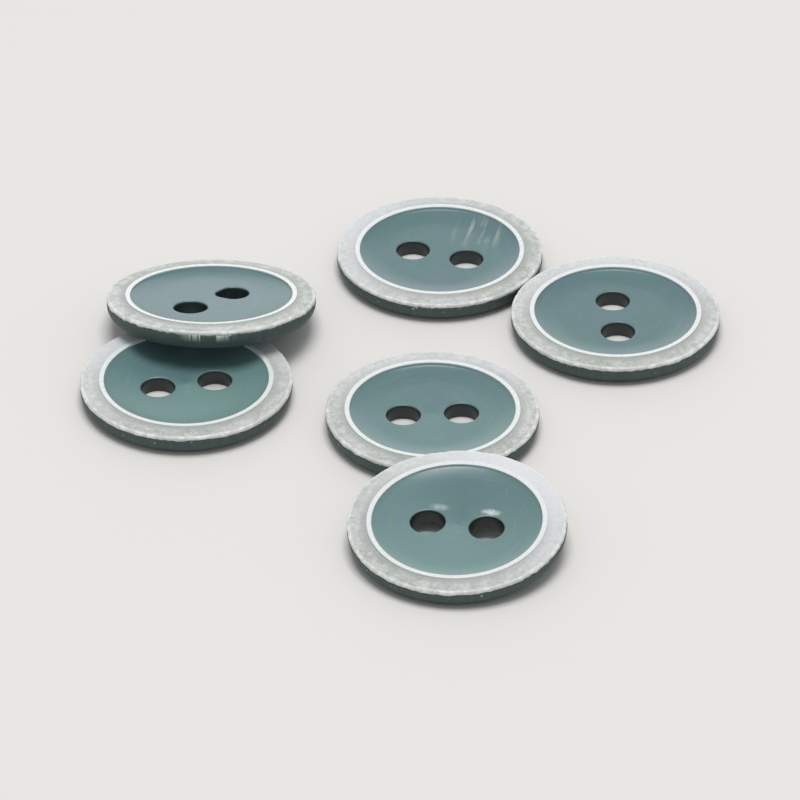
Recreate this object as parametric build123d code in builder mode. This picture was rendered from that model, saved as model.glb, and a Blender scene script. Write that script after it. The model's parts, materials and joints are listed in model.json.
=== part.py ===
from build123d import *
import math
import os

# A set of six two-hole sewing buttons of one size, loose on a table. Four lie flat, and two lean on
# the rim of a neighbour. Each button is a turned disc with a pale layer bonded round its face. The
# disc's recess is cut through that layer, so the middle shows the disc's own colour.
# Millimetres. +X is to the right, +Y is away from the viewer, +Z is up, and z = 0 is the table.

os.makedirs("parts", exist_ok=True)

# One button's section
button_dia = 10.0
button_thick = 1.1
back_edge_r = 0.65  # rounding of the underside's edge
rim_width = 1.12  # from the outer edge to the recess, measured at the lip
recess_depth = 0.34  # from the lip's top to the recess's flat middle
recess_wall = 0.16  # from the lip's top to the foot of the recess's wall
recess_wall_run = 0.12  # how far the recess's wall leans outwards

# The pale layer
layer_at_wall = 0.25
layer_at_lip = 0.1
lip_width = 0.24
rim_fall = 0.04  # the rim outside the lip lies this much lower
rim_edge_r = 0.12

# The two sewing holes
hole_dia = 1.6
hole_pitch = 2.72
hole_edge = 0.08  # chamfer at both ends of a hole
hole_land = 0.3  # flat floor left round the holes

# The way the buttons lie. A gap is between two rims, and a lap is how far one rim reaches over
# another. A bearing is in degrees, anticlockwise from +X, seen from above.
middle_to_back_gap = 3.98
middle_to_back_bearing = 87.8
back_to_right_gap = 0.04
back_to_right_bearing = -33.9
middle_to_left_gap = 1.85
middle_to_left_bearing = 167.0
left_to_leaning_lap = 4.15
left_to_leaning_bearing = 79.3
middle_to_front_lap = 0.3
middle_to_front_bearing = -84.0
leaning_rises_to = 270.0
front_rises_to = 70.0
lean_gap = 0.02  # left between a leaning button and the rim that it leans on
steepest_lean = 60.0

# How finely a rim is sampled when a lean is worked out
ring_steps = 180
edge_steps = 6
halvings = 24

hole_line = {
    "back_left": 45.0,
    "back_middle": -18.0,
    "right": -87.0,
    "front_left": 12.0,
    "middle": 3.0,
    "front": -12.0,
}

radius = button_dia / 2
window_r = radius - rim_width
back_flat_r = radius - back_edge_r
floor_z = button_thick - recess_depth
foot_z = button_thick - recess_wall
lip_seat_z = button_thick - layer_at_lip
wall_seat_z = button_thick - layer_at_wall
rim_z = button_thick - rim_fall
hole_flat_r = (hole_pitch + hole_dia) / 2 + hole_edge + hole_land


def step(start, distance, bearing):
    """The point that lies a distance from start, along a bearing."""
    turn = math.radians(bearing)
    return (start[0] + distance * math.cos(turn), start[1] + distance * math.sin(turn))


def normal_of(rises_to, tilt):
    """The direction that a button's face looks, when the button rises towards a bearing."""
    turn, lean = math.radians(rises_to), math.radians(tilt)
    return Vector(-math.sin(lean) * math.cos(turn), -math.sin(lean) * math.sin(turn), math.cos(lean))


def lift_of(tilt):
    """How high the middle of a tilted button's underside is, when its edge touches the table."""
    lean = math.radians(tilt)
    return back_flat_r * math.sin(lean) - back_edge_r * (1 - math.cos(lean))


def underside_height(distance):
    """The underside's height over its flat middle, at a distance from the button's axis."""
    past_flat = max(0.0, distance - back_flat_r)
    return back_edge_r - math.sqrt(max(0.0, back_edge_r**2 - past_flat**2))


def rim_points(centre):
    """Points all over the upper edge of a flat button's rim."""
    points = []
    for edge_step in range(edge_steps + 1):
        edge_turn = math.radians(90 * edge_step / edge_steps)
        ring_r = radius - rim_edge_r * (1 - math.cos(edge_turn))
        ring_z = rim_z - rim_edge_r * (1 - math.sin(edge_turn))
        for ring_step in range(ring_steps):
            x, y = step(centre, ring_r, 360 * ring_step / ring_steps)
            points.append(Vector(x, y, ring_z))
    return points


def clears(centre, rises_to, tilt, points):
    """Whether a button, leaning at this tilt, passes over every point with the gap to spare."""
    face = normal_of(rises_to, tilt)
    origin = Vector(centre[0], centre[1], lift_of(tilt))
    for point in points:
        reach = point - origin
        height = reach.dot(face)
        distance = math.sqrt(max(0.0, reach.dot(reach) - height**2))
        if distance < radius and height > underside_height(distance) - lean_gap:
            return False
    return True


def lean_tilt(centre, rises_to, under):
    """The least tilt in degrees at which a button at centre rests on the rim of the one under it."""
    points = rim_points(under)
    low, high = 0.0, steepest_lean
    for halving in range(halvings):
        tilt = (low + high) / 2
        if clears(centre, rises_to, tilt, points):
            high = tilt
        else:
            low = tilt
    return high


def reach_along(place, x_way, y_way):
    """How far a placed button reaches along a level direction."""
    centre, rises_to, tilt = place
    slope = normal_of(rises_to, tilt).dot(Vector(x_way, y_way, 0))
    start = centre[0] * x_way + centre[1] * y_way
    reaches = []
    for edge_r, edge_z in ((back_edge_r, back_edge_r), (rim_edge_r, rim_z - rim_edge_r)):
        reaches.append(start + (radius - edge_r) * math.sqrt(1 - slope**2) + edge_r + edge_z * slope)
    return max(reaches)


def layout():
    """Each button's centre, the bearing that it rises to and its tilt, with the set centred."""
    middle = (0.0, 0.0)
    back_middle = step(middle, button_dia + middle_to_back_gap, middle_to_back_bearing)
    right = step(back_middle, button_dia + back_to_right_gap, back_to_right_bearing)
    front_left = step(middle, button_dia + middle_to_left_gap, middle_to_left_bearing)
    back_left = step(front_left, button_dia - left_to_leaning_lap, left_to_leaning_bearing)
    front = step(middle, button_dia - middle_to_front_lap, middle_to_front_bearing)
    places = {
        "back_left": (back_left, leaning_rises_to, lean_tilt(back_left, leaning_rises_to, front_left)),
        "back_middle": (back_middle, 0.0, 0.0),
        "right": (right, 0.0, 0.0),
        "front_left": (front_left, 0.0, 0.0),
        "middle": (middle, 0.0, 0.0),
        "front": (front, front_rises_to, lean_tilt(front, front_rises_to, middle)),
    }
    spread_x = [max(reach_along(p, way, 0) for p in places.values()) for way in (1, -1)]
    spread_y = [max(reach_along(p, 0, way) for p in places.values()) for way in (1, -1)]
    shift_x = (spread_x[0] - spread_x[1]) / 2
    shift_y = (spread_y[0] - spread_y[1]) / 2
    return {
        name: ((centre[0] - shift_x, centre[1] - shift_y), rises_to, tilt)
        for name, (centre, rises_to, tilt) in places.items()
    }


def seat_plane(place, turn):
    """The plane of a button's underside, with its x along the line of the holes."""
    centre, rises_to, tilt = place
    face = normal_of(rises_to, tilt)
    along = Vector(math.cos(math.radians(turn)), math.sin(math.radians(turn)), 0)
    origin = (centre[0], centre[1], lift_of(tilt))
    return Plane(origin=origin, x_dir=along - face * along.dot(face), z_dir=face)


def section_plane(seat):
    """The plane that cuts a button between its holes: x is the radius, and y is the height."""
    return Plane(origin=seat.origin, x_dir=seat.y_dir, z_dir=seat.x_dir)


def turned_body(seat):
    """The button's disc: flat back, rounded edge, seat for the pale layer, recess and holes."""
    with BuildPart() as body:
        with BuildSketch(section_plane(seat)):
            with BuildLine():
                Line((0, 0), (back_flat_r, 0))
                RadiusArc((back_flat_r, 0), (radius, back_edge_r), -back_edge_r)
                Polyline((radius, back_edge_r), (radius, wall_seat_z), (window_r, lip_seat_z))
                Line((window_r, lip_seat_z), (window_r - recess_wall_run, foot_z))
                recess_floor = TangentArc(
                    (hole_flat_r, floor_z), (window_r - recess_wall_run, foot_z), tangent=(1, 0)
                )
                Polyline(recess_floor @ 0, (0, floor_z), (0, 0))
            make_face()
        revolve(axis=Axis(seat.origin, seat.z_dir))
        with BuildSketch(seat):
            with GridLocations(hole_pitch, hole_pitch, 2, 1):
                Circle(hole_dia / 2)
        extrude(amount=button_thick, mode=Mode.SUBTRACT)
        rings = body.edges().filter_by(GeomType.CIRCLE)
        hole_rings = rings.filter_by(lambda ring: abs(ring.radius - hole_dia / 2) < 0.001)
        chamfer(hole_rings, hole_edge)
    return body.part


def pale_rim(seat):
    """The pale layer round the face: a lip at the recess, a lower flat, and a rounded outer edge."""
    with BuildPart() as rim:
        with BuildSketch(section_plane(seat)):
            with BuildLine():
                Polyline((window_r, lip_seat_z), (window_r, button_thick))
                Polyline((window_r, button_thick), (window_r + lip_width, button_thick))
                Polyline((window_r + lip_width, button_thick), (window_r + lip_width + rim_fall, rim_z))
                Polyline((window_r + lip_width + rim_fall, rim_z), (radius - rim_edge_r, rim_z))
                RadiusArc((radius - rim_edge_r, rim_z), (radius, rim_z - rim_edge_r), rim_edge_r)
                Polyline((radius, rim_z - rim_edge_r), (radius, wall_seat_z), (window_r, lip_seat_z))
            make_face()
        revolve(axis=Axis(seat.origin, seat.z_dir))
    return rim.part


for name, place in layout().items():
    seat = seat_plane(place, hole_line[name])
    body = turned_body(seat)
    body.label = name + "_button_body"
    export_step(body, "parts/" + body.label + ".step")
    rim = pale_rim(seat)
    rim.label = name + "_button_rim"
    export_step(rim, "parts/" + rim.label + ".step")
    print(name, "x %.3f y %.3f" % place[0], "tilt %.2f" % place[2], "lift %.3f" % lift_of(place[2]))
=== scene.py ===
"""The looks of six loose two-hole sewing buttons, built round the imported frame.

Each button is turned from resin that was cast in two layers: a teal disc, and a pale frosted layer that
stays as a rim where the recess is cut through it. A button is drawn in its own frame, in millimetres,
with x along the line of its holes and z out of its face. The frame's sewing holes then say where it lies.
"""

import json
import math

import bmesh
import bpy
import numpy as np
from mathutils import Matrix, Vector


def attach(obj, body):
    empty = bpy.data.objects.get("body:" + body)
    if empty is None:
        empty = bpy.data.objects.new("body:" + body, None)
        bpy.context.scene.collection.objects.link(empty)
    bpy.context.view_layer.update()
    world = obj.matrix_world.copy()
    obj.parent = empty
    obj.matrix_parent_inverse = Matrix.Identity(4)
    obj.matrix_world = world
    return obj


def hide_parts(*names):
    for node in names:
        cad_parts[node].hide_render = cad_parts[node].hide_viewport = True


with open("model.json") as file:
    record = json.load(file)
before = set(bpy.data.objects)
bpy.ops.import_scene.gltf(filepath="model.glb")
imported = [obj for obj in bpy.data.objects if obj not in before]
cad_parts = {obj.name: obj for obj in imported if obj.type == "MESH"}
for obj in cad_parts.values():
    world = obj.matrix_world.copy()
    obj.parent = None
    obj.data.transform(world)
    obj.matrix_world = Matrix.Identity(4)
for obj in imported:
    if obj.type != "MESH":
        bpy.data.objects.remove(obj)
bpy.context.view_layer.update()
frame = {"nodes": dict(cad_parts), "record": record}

MM = 0.001
PLACE = "button_place"  # the attribute that holds a point's place in its button's own frame
LOT = "button_lot"  # the attribute that gives each button noise of its own
PAINTED_LIGHT = "bloom"  # the attribute that says how far a point's colour is faded to a paler one, as painted light

# One button's section in millimetres, with z up from the back
OUTER_R = 5.0
FACE_Z = 1.1
BACK_EDGE_R = 0.65
RIM_WIDTH = 1.12
RECESS_DEPTH = 0.34
RECESS_WALL = 0.16
RECESS_WALL_RUN = 0.12
LAYER_AT_LIP = 0.1
LAYER_AT_WALL = 0.25
LEVEL_FLOOR_R = 2.54  # how far out the recess's floor is level
FLOOR_PATCH_R = 3.6  # how far out the floor is drawn round the holes, not round the axis
RECESS_FOOT_ROUND = 0.3
LIP_WIDTH = 0.24
LIP_ROUND = 0.03
RIM_FALL = 0.04  # the step down outside the lip
RIM_SLOPE = 0.05  # how much more the rim falls from there to its edge
RIM_EDGE_ROUND = 0.12
HOLE_EDGE_ROUND = 0.09

BACK_FLAT_R = OUTER_R - BACK_EDGE_R
RECESS_LIP_R = OUTER_R - RIM_WIDTH
RECESS_FOOT_R = RECESS_LIP_R - RECESS_WALL_RUN
LIP_END_R = RECESS_LIP_R + LIP_WIDTH
FLOOR_Z = FACE_Z - RECESS_DEPTH
FLOOR_RISE = RECESS_DEPTH - RECESS_WALL
SEAT_LIP_Z = FACE_Z - LAYER_AT_LIP
SEAT_WALL_Z = FACE_Z - LAYER_AT_WALL
RIM_Z = FACE_Z - RIM_FALL
RIM_EDGE_Z = RIM_Z - RIM_SLOPE
RIM_WALL_Z = RIM_EDGE_Z - RIM_EDGE_ROUND
LEAST_LAYER = 0.005  # what is left of the pale layer's wall where its border wavers highest
BORDER_ROOM = RIM_WALL_Z - SEAT_WALL_Z - LEAST_LAYER

# How finely the surfaces are drawn
HALF_TURN_STEPS = 180
MIDLINE_STEPS = 96  # along the line between the two holes
FLOOR_RINGS = 22
BACK_RINGS = 5
ARC_STEPS = 6
LONGEST_STEP = 0.12
SHORTEST_STEP = 1e-7
WELD = 1e-7  # metres

# How worn and how cleanly cut each button is. A painted light is a share, and the bearing on the face, in
# degrees, towards which it is strongest: painted sheen on the rim, a painted lit side on the recess.
BUTTONS = {
    "back_left": {
        "seed": 11, "ragged": 0.075, "nick": 0.05, "burr": 0.1,
        "rim_bloom": (0.0, 0), "disc_bloom": (0.1, -45),
    },
    "back_middle": {
        "seed": 23, "ragged": 0.05, "nick": 0.035, "burr": 0.0,
        "rim_bloom": (0.65, 175), "disc_bloom": (0.0, 0),
    },
    "right": {
        "seed": 37, "ragged": 0.06, "nick": 0.045, "burr": 0.0,
        "rim_bloom": (0.7, 177), "disc_bloom": (0.0, 0),
    },
    "front_left": {
        "seed": 41, "ragged": 0.05, "nick": 0.03, "burr": 0.0,
        "rim_bloom": (1.0, 85), "disc_bloom": (1.0, -88),
    },
    "middle": {
        "seed": 53, "ragged": 0.055, "nick": 0.035, "burr": 0.0,
        "rim_bloom": (0.5, 87), "disc_bloom": (0.45, -93),
    },
    "front": {
        "seed": 67, "ragged": 0.07, "nick": 0.05, "burr": 0.0,
        "rim_bloom": (1.0, 62), "disc_bloom": (0.75, -95),
    },
}
# How tightly the painted sheen on a rim and the painted light on a recess gather round their bearing
RIM_PAINTED_SHEEN_FOCUS = 1.5
DISC_PAINTED_LIGHT_FOCUS = 0.8

# The burr is two humps, each spread to one side of a bearing seen from the hole's middle, in degrees
BURR_BEARING = 147.0
BURR_SPREAD = 50.0
BURR_WIDTH = 26.0

# The waves of the layer's border, and the nicks in the rim's edge: how wide in degrees, how deep as a
# share of the deepest, and how far in for each millimetre down
BORDER_WAVES = (3, 110)
NICK_COUNT = 34
NICK_WIDTHS = (0.5, 2.2)
NICK_DEPTHS = (0.15, 1.0)
NICK_INSET = 0.6

# Where a pattern's spots start to fade, as a share of their radius, and the scuffs' make: cells per
# millimetre along and across them, and how softly they end. A place is in millimetres on the face.
SPOT_CORE = 0.25
SPECK_CORE = 0.6
SCUFF_CORE = 0.35
SCUFF_CELLS = (0.45, 2.8, 1.0)
SCUFF_SOFTNESS = 0.18
SCRAPE_PLACE = (-3.5, -3.5)
RESIN_IOR = 1.52

# The place that the photograph is taken from, in millimetres, and how much of the frame the set fills
CAMERA_PLACE = np.array([-2.19, -235.1, 156.2])
FILL = 0.8
SENSOR_WIDTH = 36.0
NEAREST_SEEN = 0.01  # metres
AIM_ROUNDS = 3

FLOOR_HALF = 1.5  # metres
FLOOR_DROP = 0.02


def srgb(red, green, blue):
    """A linear colour from the 8-bit values that a screen shows."""
    shown = np.array([red, green, blue]) / 255
    linear = np.where(shown <= 0.04045, shown / 12.92, ((shown + 0.055) / 1.055) ** 2.4)
    return (*linear.tolist(), 1.0)


TEAL = srgb(92, 121, 125)
TEAL_GREEN = srgb(88, 123, 120)
TEAL_BLUE = srgb(100, 121, 136)
# painted light: the paler teal that a recess is painted towards on one side
TEAL_PAINTED_LIGHT = srgb(118, 150, 147)
# partly a dull cut finish, partly painted shade on the wall
TEAL_CUT_AND_SHADE = srgb(62, 78, 74)
# painted shade inside the bores, partly a rough drilled finish
TEAL_BORE_SHADE = srgb(38, 50, 50)
CHALK = srgb(205, 210, 202)
PEARL = srgb(190, 194, 187)
PEARL_DARK = srgb(162, 169, 162)
PEARL_LIGHT = srgb(224, 225, 221)
PEARL_LILAC = srgb(214, 210, 219)
PEARL_CREAM = srgb(212, 210, 192)
# painted sheen: the paler pearl that a rim is painted towards on one side
PEARL_PAINTED_SHEEN = srgb(226, 228, 230)
LIP_WHITE = srgb(234, 238, 235)
FLOOR_GREY = srgb(229, 227, 223)
STUDIO_WHITE = srgb(250, 251, 255)


# Sections and outlines

def rounded_outline(corners, rounds):
    """A section's corners joined by straight runs, each corner turned into an arc of its own radius.

    The arc starts and ends at radius · tan(turn / 2) from the corner. Its points are the centre plus the
    start's arm, turned by equal parts of the corner's turn. A radius of 0 keeps the corner sharp.
    """
    corners = np.array(corners, float)
    stretches = [corners[:1]]
    for before, corner, after, radius in zip(corners[:-2], corners[1:-1], corners[2:], rounds):
        if radius == 0:
            stretches.append(corner[None])
            continue
        way_in = (corner - before) / np.linalg.norm(corner - before)
        way_out = (after - corner) / np.linalg.norm(after - corner)
        turn = math.atan2(way_in[0] * way_out[1] - way_in[1] * way_out[0], way_in @ way_out)
        start = corner - way_in * radius * abs(math.tan(turn / 2))
        side = math.copysign(1, turn) * np.array([-way_in[1], way_in[0]])
        centre = start + side * radius
        swept = np.linspace(0, turn, ARC_STEPS + 1)
        arm = start - centre
        stretches.append(centre + np.stack([
            arm[0] * np.cos(swept) - arm[1] * np.sin(swept),
            arm[0] * np.sin(swept) + arm[1] * np.cos(swept),
        ], axis=-1))
    stretches.append(corners[-1:])
    return np.concatenate(stretches)


def spaced(outline):
    """The same outline with points put in evenly along each run that is longer than the longest step."""
    runs = np.linalg.norm(np.diff(outline, axis=0), axis=1)
    keep = np.concatenate([[True], runs > SHORTEST_STEP])
    outline = outline[keep]
    runs = runs[keep[1:]]
    parts = np.maximum(1, np.ceil(runs / LONGEST_STEP)).astype(int)
    start = np.repeat(np.arange(len(runs)), parts)
    first = np.repeat(np.cumsum(parts) - parts, parts)
    share = (np.arange(parts.sum()) - first) / parts[start]
    filled = outline[start] + share[:, None] * (outline[start + 1] - outline[start])
    return np.concatenate([filled, outline[-1:]])


def floor_height(radius):
    """The recess's floor: level in the middle, then rising along an arc that leaves it tangent.

    The arc's radius is (run² + rise²) / (2 · rise), and its height at a distance d past the level part
    is radius - sqrt(radius² - d²).
    """
    run = RECESS_FOOT_R - LEVEL_FLOOR_R
    bend = (run**2 + FLOOR_RISE**2) / (2 * FLOOR_RISE)
    past = np.clip(radius - LEVEL_FLOOR_R, 0, run)
    return FLOOR_Z + bend - np.sqrt(bend**2 - past**2)


def wavering(angles, random, size):
    """An uneven line round a button: sine waves of many periods, each 1 / sqrt(its periods) high."""
    fewest, most = BORDER_WAVES
    periods = np.arange(fewest, most + 1)
    heights = random.normal(size=periods.size) / np.sqrt(periods)
    phases = random.uniform(0, 2 * math.pi, periods.size)
    line = (heights[:, None] * np.sin(periods[:, None] * angles + phases[:, None])).sum(axis=0)
    return size * line / np.abs(line).max()


def nicks(angles, random, depth):
    """Small notches round an edge: the sum of depth · exp(-(angle from the notch / width)²)."""
    centres = random.uniform(-math.pi, math.pi, NICK_COUNT)
    widths = np.radians(random.uniform(*NICK_WIDTHS, NICK_COUNT))
    depths = depth * random.uniform(*NICK_DEPTHS, NICK_COUNT) ** 2
    gap = (angles[:, None] - centres + math.pi) % (2 * math.pi) - math.pi
    return (depths * np.exp(-((gap / widths) ** 2))).sum(axis=1)


# Grids of points, and the meshes made of them

def ring_angles():
    """Equal steps once round a button, from straight down the face's y axis."""
    return -math.pi / 2 + math.pi * np.arange(2 * HALF_TURN_STEPS) / HALF_TURN_STEPS


def turned(outline, angles, lift=0.0, inset=0.0):
    """A section carried round the axis: (r cos a, r sin a, z), with a lift in z and an inset in r."""
    radius = outline[:, None, 0] - inset
    height = outline[:, None, 1] + lift
    radius, height = np.broadcast_arrays(radius, height + 0 * angles)
    return np.stack([radius * np.cos(angles), radius * np.sin(angles), height], axis=-1)


def half_border(edge_r):
    """Points once round the half disc that lies right of the face's y axis: its arc, then the midline."""
    arc = ring_angles()[: HALF_TURN_STEPS + 1]
    rim = np.stack([edge_r * np.cos(arc), edge_r * np.sin(arc)], axis=-1)
    rim[[0, -1], 0] = 0
    down = edge_r * (1 - 2 * np.arange(1, MIDLINE_STEPS) / MIDLINE_STEPS)
    return np.concatenate([rim, np.stack([0 * down, down], axis=-1)])


def hole_ways(pitch):
    """The directions from the hole's middle to each point of the half disc's border, as unit arms."""
    arms = half_border(FLOOR_PATCH_R) - (pitch / 2, 0)
    return arms / np.linalg.norm(arms, axis=1, keepdims=True)


def hole_pinch(ways, burr):
    """How far a burr stands into a hole, at two places beside the bearing where the drill slipped."""
    bearing = np.degrees(np.arctan2(ways[:, 1], ways[:, 0]))
    pinch = 0
    for place in (BURR_BEARING - BURR_SPREAD, BURR_BEARING + BURR_SPREAD):
        gap = (bearing - place + 180) % 360 - 180
        pinch = pinch + burr * np.exp(-((gap / BURR_WIDTH) ** 2))
    return pinch


def round_hole(edge_r, hole, height_at, rings):
    """A face round one hole: each point is hole edge + s · (border - hole edge), for s from 0 to 1."""
    share = np.linspace(0, 1, rings + 1)[:, None, None]
    flat = hole + share * (half_border(edge_r) - hole)
    height = height_at(np.linalg.norm(flat, axis=-1))
    return np.concatenate([flat, height[..., None]], axis=-1)


def bore(middle, ways, hole_r):
    """A hole's wall with both its edges rounded, and the ring on which the faces round it start.

    The hole's section is carried along the arms: middle + (hole radius + the section's reach) · arm.
    """
    section = []
    for sign, face_z in ((1, 0.0), (-1, FLOOR_Z)):
        turn = np.linspace(0, math.pi / 2, ARC_STEPS + 1)
        out = HOLE_EDGE_ROUND * (1 - np.sin(turn))
        up = face_z + sign * HOLE_EDGE_ROUND * (1 - np.cos(turn))
        section.append(np.stack([out, up], axis=-1)[::sign])
    section = spaced(np.concatenate(section))
    reach = hole_r + section[:, :1]
    flat = middle + reach[..., None] * ways
    height = np.broadcast_to(section[:, 1:], reach.shape[:1] + ways.shape[:1])
    edge = middle + (hole_r + HOLE_EDGE_ROUND)[:, None] * ways
    return np.concatenate([flat, height[..., None]], axis=-1), edge


def grid_faces(rows, columns, first):
    """The quads of a grid whose columns run once round, as indices that start at first."""
    row = np.arange(rows - 1)[:, None] * columns
    here = np.arange(columns)
    there = (here + 1) % columns
    corners = np.stack([row + here, row + there, row + columns + there, row + columns + here], axis=-1)
    return first + corners.reshape(-1, 4)


def painted_light_at(own, share, bearing, focus):
    """How far each point is faded by painted light: share · ((1 + cos(its bearing - the painted light's
    bearing)) / 2)^focus.
    """
    gap = np.arctan2(own[:, 1], own[:, 0]) - math.radians(bearing)
    return share * ((1 + np.cos(gap)) / 2) ** focus


def make_piece(name, grids, seat, lot, bloom, material):
    """One object from grids that share their edges: points set in the seat's place, welded and smooth.

    A point's place is origin + x · along + y · across + z · face, worked out for all points at once. A
    painted light is its share, bearing and focus: how far one side is painted paler.
    """
    own = np.concatenate([grid.reshape(-1, 3) for grid in grids])
    first = np.cumsum([0] + [grid.shape[0] * grid.shape[1] for grid in grids])
    faces = np.concatenate([grid_faces(*grid.shape[:2], start) for grid, start in zip(grids, first)])
    origin, axes = seat
    mesh = bpy.data.meshes.new(name)
    mesh.from_pydata(((origin + own @ axes) * MM).tolist(), [], faces.tolist())
    place = mesh.attributes.new(PLACE, "FLOAT_VECTOR", "POINT")
    place.data.foreach_set("vector", own.astype(np.float32).ravel())
    for key, values in ((LOT, np.full(len(own), lot)), (PAINTED_LIGHT, painted_light_at(own, *bloom))):
        number = mesh.attributes.new(key, "FLOAT", "POINT")
        number.data.foreach_set("value", values.astype(np.float32))
    shape = bmesh.new()
    shape.from_mesh(mesh)
    bmesh.ops.remove_doubles(shape, verts=shape.verts, dist=WELD)
    bmesh.ops.recalc_face_normals(shape, faces=shape.faces)
    shape.to_mesh(mesh)
    shape.free()
    mesh.shade_smooth()
    mesh.materials.append(material)
    piece = bpy.data.objects.new(name, mesh)
    bpy.context.scene.collection.objects.link(piece)
    return piece


# The two pieces of a button

def seat_section(border):
    """The slope that the pale layer is bonded to, from the lip out to the wall, and its waver."""
    section = spaced(np.array([(RECESS_LIP_R, SEAT_LIP_Z), (OUTER_R, SEAT_WALL_Z)]))
    share = ((section[:, 0] - RECESS_LIP_R) / (OUTER_R - RECESS_LIP_R)) ** 2
    return section, share[:, None] * border


def teal_disc(name, seat, holes, style, border, material):
    """The disc: recess and back drawn round the two holes, and a turned skin between them."""
    angles = ring_angles()
    slope, slope_lift = seat_section(border)
    foot = (RECESS_FOOT_R, float(floor_height(RECESS_FOOT_R)))
    recess_wall = spaced(rounded_outline(
        [(FLOOR_PATCH_R, float(floor_height(FLOOR_PATCH_R))), foot, slope[0]], [RECESS_FOOT_ROUND]
    ))
    wall = spaced(rounded_outline([slope[-1], (OUTER_R, 0), (BACK_FLAT_R, 0)], [BACK_EDGE_R]))
    fade = np.clip((wall[:, 1] - BACK_EDGE_R) / (SEAT_WALL_Z - BACK_EDGE_R), 0, 1)[:, None]
    grids = [
        turned(recess_wall, angles),
        turned(slope, angles, lift=slope_lift),
        turned(wall, angles, lift=fade * border),
    ]
    hole_r, pitch = holes
    middle = np.array([pitch / 2, 0])
    ways = hole_ways(pitch)
    for side, burr in ((1, style["burr"]), (-1, 0.0)):
        wall_r = hole_r - hole_pinch(ways, burr)
        shaft, edge = bore(middle, ways, wall_r)
        face = round_hole(FLOOR_PATCH_R, edge, floor_height, FLOOR_RINGS)
        back = round_hole(BACK_FLAT_R, edge, np.zeros_like, BACK_RINGS)
        grids += [grid * (side, side, 1) for grid in (shaft, face, back)]
    bloom = (*style["disc_bloom"], DISC_PAINTED_LIGHT_FOCUS)
    return make_piece(name + "_disc", grids, seat, style["seed"], bloom, material)


def pale_rim(name, seat, style, border, random, material):
    """The pale layer: a ring with a lip at the recess, a small step down, and a nicked round edge."""
    angles = ring_angles()
    slope, slope_lift = seat_section(border)
    top = spaced(rounded_outline(
        [
            slope[0],
            (RECESS_LIP_R, FACE_Z),
            (LIP_END_R, FACE_Z),
            (LIP_END_R + RIM_FALL, RIM_Z),
            (OUTER_R, RIM_EDGE_Z),
            slope[-1],
        ],
        [LIP_ROUND, LIP_ROUND, LIP_ROUND, RIM_EDGE_ROUND],
    ))
    edge_start = OUTER_R - 2 * RIM_EDGE_ROUND
    nearness = np.clip((top[:, 0] - edge_start) / (OUTER_R - edge_start), 0, 1)[:, None] ** 2
    on_wall = np.clip((RIM_WALL_Z - top[:, 1]) / (RIM_WALL_Z - SEAT_WALL_Z), 0, 1)
    is_outside = top[:, 0] > LIP_END_R
    lift = (on_wall * is_outside)[:, None] * border
    notch = nicks(angles, random, style["nick"])
    drop = nearness * (1 - on_wall[:, None]) * notch
    grids = [
        turned(top, angles, lift=lift - drop, inset=NICK_INSET * drop),
        turned(slope, angles, lift=slope_lift),
    ]
    bloom = (*style["rim_bloom"], RIM_PAINTED_SHEEN_FOCUS)
    return make_piece(name + "_pale_rim", grids, seat, style["seed"], bloom, material)


# Nodes

def feed(tree, socket, value):
    """An input set to a value, or joined to the socket that gives it."""
    if isinstance(value, bpy.types.NodeSocket):
        tree.links.new(value, socket)
    else:
        socket.default_value = value


def add(tree, kind, inputs=None, **settings):
    """A node with its settings made and its inputs fed."""
    node = tree.nodes.new(kind)
    for setting, value in settings.items():
        setattr(node, setting, value)
    for key, value in (inputs or {}).items():
        feed(tree, node.inputs[key], value)
    return node


def maths(tree, operation, first, *others):
    """Numbers taken together, one after another, by Math nodes."""
    for other in others:
        first = add(tree, "ShaderNodeMath", {0: first, 1: other}, operation=operation).outputs[0]
    return first


def times(tree, *factors):
    """The product of some numbers."""
    return maths(tree, "MULTIPLY", *factors)


def plus(tree, *terms):
    """The sum of some numbers."""
    return maths(tree, "ADD", *terms)


def vector_maths(tree, operation, *values):
    """A Vector Math node's result: a number for a length or a distance, and otherwise a vector."""
    node = add(tree, "ShaderNodeVectorMath", dict(enumerate(values)), operation=operation)
    return node.outputs["Value" if operation in ("LENGTH", "DISTANCE") else "Vector"]


def flattened(tree, place):
    """A place with its height left out."""
    return vector_maths(tree, "MULTIPLY", place, (1.0, 1.0, 0.0))


def axis_distance(tree, place):
    """How far a place is from its button's axis."""
    return vector_maths(tree, "LENGTH", flattened(tree, place))


def ramp(tree, value, low, high, to_low=0.0, to_high=1.0):
    """A value moved smoothly from one range to another."""
    inputs = {"Value": value, "From Min": low, "From Max": high, "To Min": to_low, "To Max": to_high}
    node = add(tree, "ShaderNodeMapRange", inputs, interpolation_type="SMOOTHSTEP")
    return node.outputs["Result"]


def tinted(tree, colour, tint, mask, share=1.0):
    """A colour with a tint laid over it, as strongly as mask · share says."""
    node = add(tree, "ShaderNodeMix", data_type="RGBA")
    sockets = {socket.identifier: socket for socket in node.inputs}
    feed(tree, sockets["Factor_Float"], times(tree, mask, share))
    feed(tree, sockets["A_Color"], colour)
    feed(tree, sockets["B_Color"], tint)
    return next(socket for socket in node.outputs if socket.identifier == "Result_Color")


def own_noise(tree, place, lot, **values):
    """Noise that differs from button to button, because its fourth coordinate is the button's lot."""
    inputs = {"Vector": place, "W": lot, **values}
    return add(tree, "ShaderNodeTexNoise", inputs, noise_dimensions="4D").outputs["Fac"]


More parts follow.
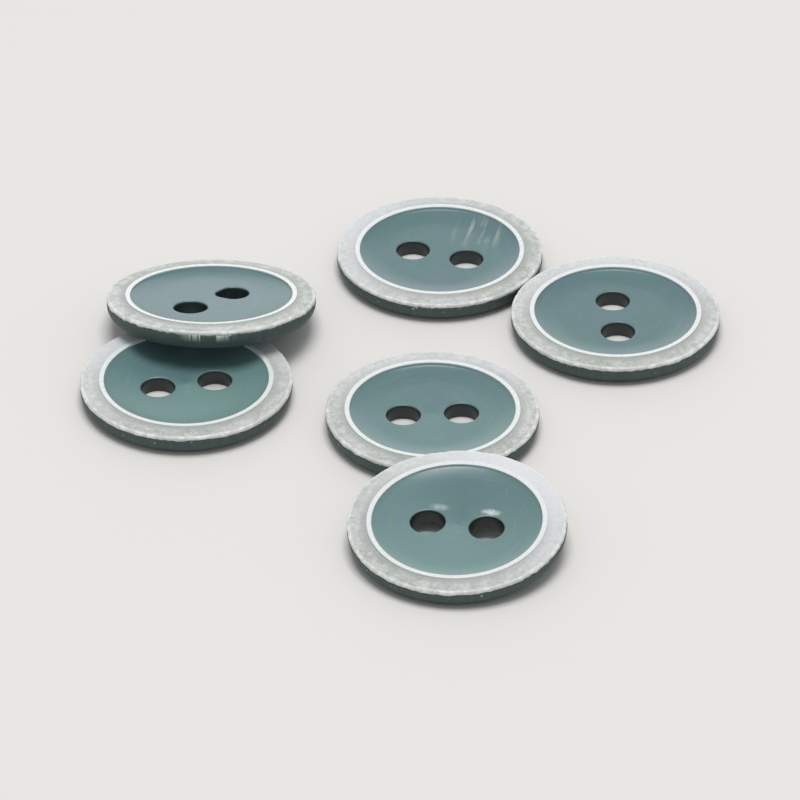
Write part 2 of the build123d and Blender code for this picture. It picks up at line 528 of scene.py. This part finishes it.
def new_group(name, numbers, result="Mask"):
    """A node group with a Place vector, a Lot number and these numbers as inputs, and one result."""
    tree = bpy.data.node_groups.new(name, "ShaderNodeTree")
    tree.interface.new_socket("Place", in_out="INPUT", socket_type="NodeSocketVector")
    for number, default in {"Lot": 0.0, **numbers}.items():
        socket = tree.interface.new_socket(number, in_out="INPUT", socket_type="NodeSocketFloat")
        socket.default_value = default
    tree.interface.new_socket(result, in_out="OUTPUT", socket_type="NodeSocketFloat")
    return tree, add(tree, "NodeGroupInput").outputs, add(tree, "NodeGroupOutput").inputs[0]


def turning_marks_group():
    """Rings that a cutter leaves: noise along the radius, which breaks up with the bearing."""
    tree, given, result = new_group("turning marks", {"Rings per mm": 9.0, "Breaks": 1.5}, "Height")
    flat = flattened(tree, given["Place"])
    way = add(tree, "ShaderNodeSeparateXYZ", {0: vector_maths(tree, "NORMALIZE", flat)}).outputs
    where = add(tree, "ShaderNodeCombineXYZ", {
        "X": times(tree, vector_maths(tree, "LENGTH", flat), given["Rings per mm"]),
        "Y": times(tree, way["X"], given["Breaks"]),
        "Z": times(tree, way["Y"], given["Breaks"]),
    }).outputs[0]
    feed(tree, result, own_noise(tree, where, given["Lot"], Scale=1.0, Detail=3.0))
    return tree


def grain_group():
    """Fine grain: noise of a given size, stretched to the range between two levels."""
    tree, given, result = new_group("grain", {"Cells per mm": 12.0, "From": 0.35, "To": 0.65})
    noise = own_noise(
        tree, given["Place"], given["Lot"], Scale=given["Cells per mm"], Detail=4.0, Roughness=0.6
    )
    feed(tree, result, ramp(tree, noise, given["From"], given["To"]))
    return tree


def specks_group():
    """Scattered specks: the middles of some cells of a cell pattern, each with a soft edge."""
    tree, given, result = new_group("specks", {"Cells per mm": 5.0, "Size": 0.2, "Share": 0.3})
    cells = add(tree, "ShaderNodeTexVoronoi", {
        "Vector": given["Place"], "W": given["Lot"], "Scale": given["Cells per mm"],
    }, voronoi_dimensions="4D").outputs
    core = times(tree, given["Size"], SPECK_CORE)
    spot = ramp(tree, cells["Distance"], core, given["Size"], to_low=1.0, to_high=0.0)
    draw = add(tree, "ShaderNodeSeparateColor", {0: cells["Color"]}).outputs[0]
    feed(tree, result, times(tree, spot, maths(tree, "LESS_THAN", draw, given["Share"])))
    return tree


def scuffs_group():
    """Light scuffs: noise drawn out along a bearing, kept inside a round spot."""
    numbers = {"Bearing": 0.0, "Spot X": 0.0, "Spot Y": 0.0, "Reach": 1.5, "From": 0.55}
    tree, given, result = new_group("scuffs", numbers)
    flat = flattened(tree, given["Place"])
    turned_place = add(
        tree, "ShaderNodeVectorRotate", {"Vector": flat, "Angle": given["Bearing"]}, rotation_type="Z_AXIS"
    ).outputs[0]
    drawn_out = vector_maths(tree, "MULTIPLY", turned_place, SCUFF_CELLS)
    noise = own_noise(tree, drawn_out, given["Lot"], Scale=1.0, Detail=2.0)
    lines = ramp(tree, noise, given["From"], plus(tree, given["From"], SCUFF_SOFTNESS))
    spot = add(tree, "ShaderNodeCombineXYZ", {"X": given["Spot X"], "Y": given["Spot Y"]}).outputs[0]
    away = vector_maths(tree, "DISTANCE", flat, spot)
    core = times(tree, given["Reach"], SCUFF_CORE)
    feed(tree, result, times(tree, lines, ramp(tree, away, core, given["Reach"], to_low=1.0, to_high=0.0)))
    return tree


GROUPS = {
    "marks": turning_marks_group(),
    "grain": grain_group(),
    "specks": specks_group(),
    "scuffs": scuffs_group(),
}


def effect(tree, name, place, lot, **numbers):
    """One of the shared effects, with its own values: its result."""
    named = {key.replace("_", " "): value for key, value in numbers.items()}
    inputs = {"Place": place, "Lot": lot, **named}
    return add(tree, "ShaderNodeGroup", inputs, node_tree=GROUPS[name]).outputs[0]


def soft_spot(tree, place, centre, size):
    """A soft-edged oval seen along a button's axis: 0 from where |((x, y) - centre) / size| is 1."""
    offset = vector_maths(tree, "SUBTRACT", place, (*centre, 0.0))
    scaled = vector_maths(tree, "MULTIPLY", offset, (1 / size[0], 1 / size[1], 0.0))
    return ramp(tree, vector_maths(tree, "LENGTH", scaled), SPOT_CORE, 1.0, to_low=1.0, to_high=0.0)


def new_material(name):
    """A material with its shader, and the sockets of a point's place, its button's lot and its painted light.
    """
    material = bpy.data.materials.new(name)
    material.use_nodes = True
    tree = material.node_tree
    tree.nodes.clear()
    shader = add(tree, "ShaderNodeBsdfPrincipled", {"IOR": RESIN_IOR})
    add(tree, "ShaderNodeOutputMaterial", {"Surface": shader.outputs[0]})
    place = add(tree, "ShaderNodeAttribute", attribute_name=PLACE).outputs["Vector"]
    lot, bloom = (add(tree, "ShaderNodeAttribute", attribute_name=key).outputs["Fac"] for key in (LOT, PAINTED_LIGHT))
    return material, tree, shader, place, lot, bloom


def finished(tree, shader, colour, roughness, relief, strength, depth):
    """A shader given its colour, roughness and relief, the last as a bump of a depth in millimetres."""
    bump = add(tree, "ShaderNodeBump", {"Height": relief, "Strength": strength, "Distance": depth * MM})
    feed(tree, shader.inputs["Base Color"], colour)
    feed(tree, shader.inputs["Roughness"], roughness)
    feed(tree, shader.inputs["Normal"], bump.outputs[0])


def teal_resin(name, holes, wear_and_highlight=""):
    """Polished teal resin: soft mottling and turning marks in the recess, a recess painted paler on one side
    as painted light, and a wall and bores painted darker, partly a dull cut and partly painted shade.

    One button's recess is scuffed, another's wall is scraped, and a third has painted highlights just beyond
    the far edges of its holes.
    """
    material, tree, shader, place, lot, bloom = new_material(name)
    hole_r, pitch = holes

    mottle = effect(tree, "grain", place, lot, Cells_per_mm=0.42, From=0.38, To=0.62)
    cloud = effect(tree, "grain", place, lot, Cells_per_mm=1.3, From=0.45, To=0.75)
    marks = effect(tree, "marks", place, lot, Rings_per_mm=7.0, Breaks=1.2)
    fine = effect(tree, "grain", place, lot, Cells_per_mm=16.0, From=0.3, To=0.7)
    colour = tinted(tree, TEAL, TEAL_GREEN, mottle)
    colour = tinted(tree, colour, TEAL_BLUE, cloud, share=0.7)
    # Painted light: the recess painted paler towards one side, as a lit side
    colour = tinted(tree, colour, TEAL_PAINTED_LIGHT, bloom)
    colour = tinted(tree, colour, CHALK, ramp(tree, marks, 0.5, 0.75), share=0.05)

    scuff_from, scuff_share = (0.48, 0.34) if wear_and_highlight == "scuffed" else (0.6, 0.1)
    scuffs = effect(tree, "scuffs", place, lot, Bearing=math.radians(-92), Spot_X=1.3, Spot_Y=2.4,
                    Reach=1.7, From=scuff_from)
    colour = tinted(tree, colour, CHALK, scuffs, share=scuff_share)
    # Painted highlights: soft white spots just beyond the far edges of the holes, broken up by grain
    if wear_and_highlight == "polish left":
        highlight_breakup = effect(tree, "grain", place, lot, Cells_per_mm=4.0, From=0.3, To=0.55)
        for spot_x, share in ((-pitch / 2 + 0.35, 0.3), (pitch / 2, 0.65)):
            hole_highlight = soft_spot(tree, place, centre=(spot_x, hole_r + 0.27), size=(0.6, 0.3))
            colour = tinted(tree, colour, LIP_WHITE, times(tree, hole_highlight, highlight_breakup), share)

    # The cut wall, painted darker, partly as a dull cut finish and partly as painted shade, with chips and
    # scratches under the border of the pale layer
    height = add(tree, "ShaderNodeSeparateXYZ", {0: place}).outputs["Z"]
    streaks = effect(tree, "marks", place, lot, Rings_per_mm=0.1, Breaks=60.0)
    on_wall = ramp(tree, axis_distance(tree, place), BACK_FLAT_R, OUTER_R - 0.5 * BACK_EDGE_R)
    cut_and_shade = tinted(tree, TEAL_CUT_AND_SHADE, TEAL, ramp(tree, streaks, 0.45, 0.8), share=0.3)
    colour = tinted(tree, colour, cut_and_shade, on_wall)
    chips = effect(tree, "specks", place, lot, Cells_per_mm=5.5, Size=0.34, Share=0.22)
    if wear_and_highlight == "scraped":
        scratches = ramp(tree, effect(tree, "marks", place, lot, Rings_per_mm=0.1, Breaks=24.0), 0.44, 0.56)
        scrape = times(tree, scratches, soft_spot(tree, place, centre=SCRAPE_PLACE, size=(1.5, 1.5)))
        chips = maths(tree, "MAXIMUM", chips, scrape)
    near_border = ramp(tree, height, 0.5 * SEAT_WALL_Z, SEAT_WALL_Z)
    colour = tinted(tree, colour, CHALK, times(tree, chips, near_border, on_wall))

    # The bores, painted darker below their rounded edge: painted shade inside the holes, partly a rough
    # drilled finish
    either_side = vector_maths(tree, "ABSOLUTE", flattened(tree, place))
    to_hole = vector_maths(tree, "DISTANCE", either_side, (pitch / 2, 0.0, 0.0))
    in_bore = ramp(tree, to_hole, hole_r + 0.01, hole_r + HOLE_EDGE_ROUND, to_low=1.0, to_high=0.0)
    below = ramp(tree, height, FLOOR_Z - 0.06, FLOOR_Z - 0.01, to_low=1.0, to_high=0.0)
    colour = tinted(tree, colour, TEAL_BORE_SHADE, times(tree, in_bore, below))

    polished = ramp(tree, fine, 0.0, 1.0, to_low=0.27, to_high=0.36)
    roughness = plus(tree, polished, times(tree, on_wall, 0.3), times(tree, scuffs, 0.15))
    relief = plus(tree, times(tree, marks, 0.25), times(tree, fine, 0.12), times(tree, streaks, on_wall, 1.2))
    finished(tree, shader, colour, roughness, relief, strength=0.7, depth=0.006)
    return material


def pale_layer(name):
    """Frosted pearl resin: short brushed arcs and grain on the rim, a clean bright lip at the recess, painted
    sheen towards one side, painted shade in the groove past the lip and painted highlights on the outer edge.
    """
    material, tree, shader, place, lot, bloom = new_material(name)
    radius = axis_distance(tree, place)

    arcs = effect(tree, "marks", place, lot, Rings_per_mm=9.0, Breaks=20.0)
    blotches = effect(tree, "grain", place, lot, Cells_per_mm=2.4, From=0.42, To=0.6)
    grain = effect(tree, "grain", place, lot, Cells_per_mm=5.5, From=0.4, To=0.62)
    fine = effect(tree, "grain", place, lot, Cells_per_mm=22.0, From=0.3, To=0.7)
    lilac = effect(tree, "grain", place, lot, Cells_per_mm=0.55, From=0.44, To=0.68)
    cream = effect(tree, "grain", place, lot, Cells_per_mm=0.8, From=0.5, To=0.75)
    glints = effect(tree, "specks", place, lot, Cells_per_mm=6.0, Size=0.3, Share=0.2)
    edge_glints = effect(tree, "specks", place, lot, Cells_per_mm=3.2, Size=0.8, Share=0.6)
    groove_shade = ramp(tree, radius, LIP_END_R + 0.1, LIP_END_R + 0.45, to_low=1.0, to_high=0.0)
    at_edge = ramp(tree, radius, OUTER_R - 0.2, OUTER_R - 0.04)
    on_lip = ramp(tree, radius, LIP_END_R - RIM_FALL, LIP_END_R, to_low=1.0, to_high=0.0)

    colour = tinted(tree, PEARL_DARK, PEARL, ramp(tree, arcs, 0.35, 0.65))
    colour = tinted(tree, colour, PEARL_LIGHT, blotches, share=0.55)
    colour = tinted(tree, colour, PEARL_CREAM, cream, share=0.5)
    colour = tinted(tree, colour, PEARL_LILAC, lilac, share=0.6)
    colour = tinted(tree, colour, PEARL_LIGHT, glints, share=0.5)
    # Painted shade: the groove just outside the lip painted darker all round
    colour = tinted(tree, colour, PEARL_DARK, groove_shade, share=0.75)
    # Painted sheen: the rim painted paler towards one side, with its grain painted weaker there
    colour = tinted(tree, colour, PEARL_PAINTED_SHEEN, bloom)
    mottling = ramp(tree, bloom, 0.0, 1.0, to_low=0.34, to_high=0.1)
    colour = tinted(tree, colour, PEARL_DARK, grain, share=mottling)
    # Painted highlights: the rim's outer edge painted lighter, with white glints along it
    colour = tinted(tree, colour, PEARL_LIGHT, at_edge, share=0.6)
    colour = tinted(tree, colour, LIP_WHITE, times(tree, edge_glints, at_edge))
    colour = tinted(tree, colour, LIP_WHITE, on_lip)

    frosted = ramp(tree, grain, 0.0, 1.0, to_low=0.34, to_high=0.5)
    roughness = maths(tree, "SUBTRACT", frosted, times(tree, on_lip, 0.1))
    off_lip = maths(tree, "SUBTRACT", 1.0, times(tree, on_lip, 0.85))
    relief = times(tree, plus(tree, times(tree, arcs, 1.2), times(tree, fine, 0.5)), off_lip)
    finished(tree, shader, colour, roughness, relief, strength=0.8, depth=0.01)
    shader.inputs["Subsurface Weight"].default_value = 0.35
    shader.inputs["Subsurface Radius"].default_value = (1.0, 1.0, 1.0)
    shader.inputs["Subsurface Scale"].default_value = 0.25 * MM
    return material


# The buttons, each in the place that its sewing holes give

mounts = {mount["name"]: mount for mount in frame["record"]["mounts"]}


def seat_and_holes(name):
    """From a button's sewing holes: the middle of its back, its three axes, and the holes' size."""
    first, second = (mounts[f"{name}_sew_hole_{number}"] for number in (1, 2))
    ends = np.array([first["pos_m"], second["pos_m"]]) / MM
    pitch = np.linalg.norm(ends[1] - ends[0])
    along = (ends[1] - ends[0]) / pitch
    face = np.array(first["axis"]) * math.copysign(1, first["axis"][2])
    origin = ends.mean(axis=0) - face * FLOOR_Z / 2
    axes = np.stack([along, np.cross(face, along), face])
    return (origin, axes), (first["dims"]["r_mm"], pitch)


pearl = pale_layer("pale_layer")
_, hole_sizes = seat_and_holes("middle")
resin = teal_resin("teal_resin", hole_sizes)
resins_with_wear_and_highlight = {
    "back_middle": teal_resin("teal_resin_scuffed", hole_sizes, wear_and_highlight="scuffed"),
    "back_left": teal_resin("teal_resin_scraped", hole_sizes, wear_and_highlight="scraped"),
    "front": teal_resin("teal_resin_with_polish_left", hole_sizes, wear_and_highlight="polish left"),
}

for name, style in BUTTONS.items():
    random = np.random.default_rng(style["seed"])
    seat, hole_sizes = seat_and_holes(name)
    border = np.minimum(wavering(ring_angles(), random, style["ragged"]), BORDER_ROOM)
    disc = teal_disc(name, seat, hole_sizes, style, border, resins_with_wear_and_highlight.get(name, resin))
    rim = pale_rim(name, seat, style, border, random, pearl)
    for piece, node, slot in ((disc, "body", "teal_resin"), (rim, "rim", "pale_layer")):
        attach(piece, "root")
        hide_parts(f"{name}_button_{node}")


# Floor, light and camera

def pale_floor():
    """A level floor, plain and pale, just under the table's height in the frame."""
    signs = [(-1, -1), (1, -1), (1, 1), (-1, 1)]
    corners = [(x * FLOOR_HALF, y * FLOOR_HALF, -FLOOR_DROP * MM) for x, y in signs]
    mesh = bpy.data.meshes.new("floor")
    mesh.from_pydata(corners, [], [(0, 1, 2, 3)])
    material = bpy.data.materials.new("pale_floor")
    material.use_nodes = True
    shader = material.node_tree.nodes["Principled BSDF"]
    shader.inputs["Base Color"].default_value = FLOOR_GREY
    shader.inputs["Roughness"].default_value = 0.85
    shader.inputs["Specular IOR Level"].default_value = 0.2
    mesh.materials.append(material)
    floor = bpy.data.objects.new("floor", mesh)
    bpy.context.scene.collection.objects.link(floor)


def softbox(name, bearing, elevation, distance, width, height, power):
    """An oblong lamp that looks at the buttons. Bearings are anticlockwise from +X, seen from above."""
    turn, rise = math.radians(bearing), math.radians(elevation)
    way = Vector((math.cos(turn) * math.cos(rise), math.sin(turn) * math.cos(rise), math.sin(rise)))
    light = bpy.data.lights.new(name, "AREA")
    light.shape = "RECTANGLE"
    light.size = width
    light.size_y = height
    light.energy = power
    lamp = bpy.data.objects.new(name, light)
    lamp.location = way * distance
    lamp.rotation_euler = way.to_track_quat("Z", "Y").to_euler()
    lamp.visible_camera = False
    bpy.context.scene.collection.objects.link(lamp)


def studio_world(ambient, backdrop):
    """Even light from all round, and a pale backdrop where the camera or a reflection looks past it."""
    world = bpy.data.worlds.new("studio")
    world.use_nodes = True
    tree = world.node_tree
    tree.nodes.clear()
    rays = add(tree, "ShaderNodeLightPath").outputs
    looks = (rays[f"Is {kind} Ray"] for kind in ("Camera", "Glossy", "Transmission"))
    seen = maths(tree, "MAXIMUM", *looks)
    strength = add(tree, "ShaderNodeMapRange", {"Value": seen, "To Min": ambient, "To Max": backdrop})
    light = add(tree, "ShaderNodeBackground", {"Color": STUDIO_WHITE, "Strength": strength.outputs[0]})
    add(tree, "ShaderNodeOutputWorld", {"Surface": light.outputs[0]})
    bpy.context.scene.world = world


def photograph_camera():
    """A camera at the photograph's place. It looks at the middle of what it sees of the set.

    A point's picture is (p · right, p · up) / (p · ahead), with p taken from the camera. The look is
    moved to the middle of all the pictures, and the lens is as long as the widest of them allows.
    """
    shown = np.array([point.co for node in frame["nodes"].values() for point in node.data.vertices])
    reach = shown / MM - CAMERA_PLACE
    ahead = reach.mean(axis=0)
    for _ in range(AIM_ROUNDS):
        ahead = ahead / np.linalg.norm(ahead)
        right = np.cross(ahead, (0, 0, 1))
        right = right / np.linalg.norm(right)
        up = np.cross(right, ahead)
        picture = np.stack([reach @ right, reach @ up], axis=-1) / (reach @ ahead)[:, None]
        low, high = picture.min(axis=0), picture.max(axis=0)
        shift = (low + high) / 2
        ahead = ahead + shift[0] * right + shift[1] * up
    data = bpy.data.cameras.new("camera")
    data.sensor_width = SENSOR_WIDTH
    data.lens = FILL * SENSOR_WIDTH / (high - low).max()
    data.clip_start = NEAREST_SEEN
    camera = bpy.data.objects.new("camera", data)
    camera.location = Vector(CAMERA_PLACE * MM)
    camera.rotation_euler = Vector(ahead).to_track_quat("-Z", "Y").to_euler()
    bpy.context.scene.collection.objects.link(camera)
    bpy.context.scene.camera = camera


pale_floor()
studio_world(ambient=0.42, backdrop=0.55)
softbox("overhead_softbox", bearing=-75, elevation=88, distance=0.45, width=0.22, height=0.22, power=1.3)
softbox("rear_softbox", bearing=90, elevation=16, distance=0.6, width=0.6, height=0.28, power=0.5)
photograph_camera()
bpy.context.scene.view_settings.view_transform = "Standard"
